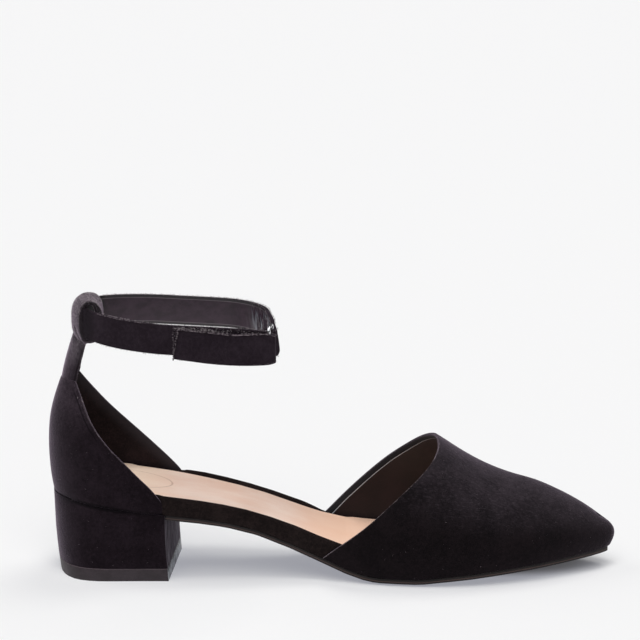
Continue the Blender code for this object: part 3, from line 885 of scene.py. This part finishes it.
def loop_shade(place, normal):
    """Shade from 0 to 1 on the loop's rim, inside it, on its front end and where the tab turns to the toe."""
    on_loop = ramp(place.z, LOOP_FOOT, LOOP_FOOT + 3)
    rim = max(ramp(-normal.y, 0.0, 0.7), ramp(-place.y, 6.5, 10.2)) * ramp(-105 - place.x, 0.0, 3.0) * on_loop
    turned = ramp(place.x + 119.3 - 0.3 * (place.z - 98), -1.5, 3.5) * (1 - ramp(place.z, 105, 108))
    inward = LOOP_HOLE - place
    inward.y = 0.0
    inside = ramp(normal.dot(inward.normalized()), 0.1, 0.5) * on_loop
    front = 0.5 * ramp(place.x, -109, -105) * ramp(place.z, 112, 116)
    return max(rim, turned, inside, front)


def make_tab():
    """Back tab and its loop, melted to one soft skin with round edges and drawn down to the counter."""
    drawn_forward, front_thick, drawn_out, let_down = 3.6, 1.8, 3.0, 1.3
    work = take("back_tab")
    points = sharp_points(work)
    piece = finish_piece("back_tab_suede", work, "back_tab", "suede", (suedes["tab"],), MELT)
    wear_down(piece, points, tab_wear)
    vertices = piece.data.vertices
    normals = [vert.normal.copy() for vert in vertices]
    shaded = []
    for vert, normal in zip(vertices, normals):
        place = vert.co / MM
        shaded.append(loop_shade(place, normal))
        outer = ramp(-place.y, 2.0, 10.2) ** 2 * ramp(place.z, LOOP_FOOT, LOOP_FOOT + 4)
        forward = drawn_forward * ramp(-108 - place.x, 0.0, 8.0) + front_thick * max(normal.x, 0.0)
        vert.co.x += outer * forward * MM
        vert.co.y -= drawn_out * outer * MM
        vert.co.z -= let_down * MM * (1 - ramp(place.z, 91.2, 95.0))
    add_values(piece, "shaded", shaded)
    press(piece, (Vector((-118.6, -9.0, 114.6)), Vector((-114.4, -9.0, 109.0))), width=1.1, depth=0.5)
    roots = nap_roots(piece, lambda face: face.normal.z > 0.2 or face.normal.x < -0.2, tab_fuzz, density=12)
    fray("tab_fibres", fastening_fibre, roots, length=0.5, thick=0.045)


def tab_wear(place):
    """Wear of the loop's edges, only at its front end."""
    return 0.6 * ramp(place.x, -109, -106) * ramp(place.z, 114, 118)


def tab_fuzz(place):
    """Share of the stray fibres on the loop, most on its top."""
    return ramp(place.z, 104, 110) * (0.25 + 0.75 * ramp(place.z, 120, 127))


# Heel, sole and ring


def make_plain(name, node, slot, finish, edge_width, changes=(), front=None):
    """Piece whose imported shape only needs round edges, a finish and perhaps another on its front face."""
    work = take(node)
    soften_edges(work, edge_width)
    finishes = (finish, front) if front else (finish,)
    for face in work.faces:
        face.material_index = 1 if front and face.normal.x > 0.8 else 0
    return finish_piece(name, work, node, slot, finishes, changes)


def make_heel():
    """Covered heel, with its top measured for the seam under the counter."""
    below_top = 24.0
    top = [point for point in sharp_points(take("heel_block")) if point.z > below_top * MM]
    piece = make_plain("heel_cover", "heel_block", "suede", suedes["heel"], 0.5, front=suedes["breast"])
    measure(piece, "from_seam", top)
    return piece


def waist_share(station, row):
    """1 where the footbed's edge shows at the waist, 0 where the upper covers it."""
    start, full, fade, stop = row
    return ramp(station, start, full) * (1 - ramp(station, fade, stop))


def make_footbed():
    """Wrapped footbed. Its edge is let out at both ends of the waist, so that no gap shows by the upper."""
    rim_round, let_out = 1.6, 2.0
    work = take("footbed_board")
    rings = {}
    for vert in work.verts:
        key = round(vert.co.x / MM, 1), vert.co.y > 0
        rings.setdefault(key, []).append(vert)
    for (x, inner), ring in rings.items():
        station = x + HALF_LENGTH
        packed, shown = (waist_share(station, rows[inner]) for rows in (PACKED_WAIST, SHOWN_WAIST))
        edge = max(abs(vert.co.y) for vert in ring)
        for vert in ring:
            inward = (edge - abs(vert.co.y)) / ((rim_round + let_out * packed) * MM)
            out = let_out * (shown - packed) * max(1 - inward, 0.0) * MM
            vert.co.y += out if inner else -out
    soften_edges(work, 0.3)
    finish_piece("footbed_cover", work, "footbed_board", "suede", (suedes["board"],))


def make_outsole():
    """Outsole, with its edge measured from the tread for the line round it."""
    work = take("outsole")
    points = sharp_points(work, facing_down=True)
    soften_edges(work, 0.3)
    piece = finish_piece("rubber_outsole", work, "outsole", "sole_rubber", (outsole_rubber,))
    measure(piece, "from_edge", points)


def make_ring():
    """Wire ring, drawn up a little so that the flap hides its lower end."""
    shown_height = 0.92
    piece = make_plain("ring_wire", "strap_ring", "ring_metal", bright_wire(), 0.05, SMOOTH_ONCE)
    top = max(vert.co.z for vert in piece.data.vertices)
    for vert in piece.data.vertices:
        vert.co.z = top + (vert.co.z - top) * shown_height


vamp = make_wall("vamp", suedes["vamp"], vamp_lining(), vamp_wear)
counter = make_counter()
make_strap()
make_tab()
heel = make_heel()
make_nap("nap_fibres", (vamp, counter, heel))
make_plain("heel_lift", "top_lift", "sole_rubber", lift_rubber, 0.35, front=lift_face())
make_footbed()
make_plain("tan_sock", "insole_sock", "tan_leather", tan_leather(), 0.25)
make_outsole()
make_ring()


# Studio


def make_floor():
    """Pale paper with a painted glow of light as from a light table beneath, which keeps the shadows soft and
    pale. The glow is dimmed under the toe, a painted shadow there.
    """
    work = bmesh.new()
    bmesh.ops.create_grid(work, x_segments=1, y_segments=1, size=8000 * MM)
    mesh = bpy.data.meshes.new("studio_floor")
    work.to_mesh(mesh)
    work.free()
    floor = bpy.data.objects.new("studio_floor", mesh)
    bpy.context.scene.collection.objects.link(floor)
    paper = Finish("studio_paper")
    from_toe = oval_reach(paper, Vector((72, 7, 0)), long=64, wide=27)
    # Painted shadow: less glow in an oval under the toe
    toe_shadow = 1 - paper.rise(from_toe, 0.6, 1.05)
    glow = paper.mix(toe_shadow, (0.93, 0.95, 1.06, 1.0), (0.24, 0.24, 0.26, 1.0))
    mesh.materials.append(
        paper.surface(
            Base_Color=shade(205, 204, 199),
            Roughness=0.8,
            Specular_IOR_Level=0.1,
            Emission_Color=glow,
            Emission_Strength=0.33,
        )
    )


def way_out(azimuth, elevation):
    """Unit vector away from the shoe: azimuth 0 is its outer side, and 90 its toe."""
    turn, tilt = math.radians(azimuth), math.radians(elevation)
    return Vector((math.sin(turn) * math.cos(tilt), -math.cos(turn) * math.cos(tilt), math.sin(tilt)))


def make_light(name, azimuth, elevation, strength, width):
    """Soft white light from far away, as a large studio panel gives."""
    lamp = bpy.data.lights.new(name, "SUN")
    lamp.energy = strength
    lamp.angle = math.radians(width)
    panel = bpy.data.objects.new(name, lamp)
    panel.rotation_euler = way_out(azimuth, elevation).to_track_quat("Z", "Y").to_euler()
    bpy.context.scene.collection.objects.link(panel)


def make_sky(colour, strength):
    world = bpy.data.worlds.new("studio_sky")
    world.use_nodes = True
    sky = world.node_tree.nodes["Background"]
    sky.inputs["Color"].default_value = (*colour, 1.0)
    sky.inputs["Strength"].default_value = strength
    bpy.context.scene.world = world


def make_camera(target, azimuth, elevation, distance, lens):
    """Camera that looks at a target from a distance, in millimetres, through a lens on a 36 mm sensor."""
    lens_data = bpy.data.cameras.new("photo_camera")
    lens_data.lens = lens
    lens_data.sensor_width = 36.0
    lens_data.clip_end = 30000 * MM
    camera = bpy.data.objects.new("photo_camera", lens_data)
    back = way_out(azimuth, elevation)
    camera.location = (target + back * distance) * MM
    camera.rotation_euler = (-back).to_track_quat("-Z", "Y").to_euler()
    bpy.context.scene.collection.objects.link(camera)
    bpy.context.scene.camera = camera


make_floor()
make_light("left_panel", azimuth=-105, elevation=34, strength=0.64, width=50)
make_light("back_panel", azimuth=145, elevation=62, strength=0.85, width=30)
make_light("top_panel", azimuth=0, elevation=84, strength=0.9, width=20)
make_light("front_panel", azimuth=-5, elevation=56, strength=1.25, width=50)
make_sky((0.98, 0.98, 1.0), strength=0.07)
make_camera(Vector((-5.6, -9.8, 119.5)), azimuth=1.0, elevation=13.3, distance=1500, lens=184.78)
bpy.context.scene.view_settings.view_transform = "Standard"
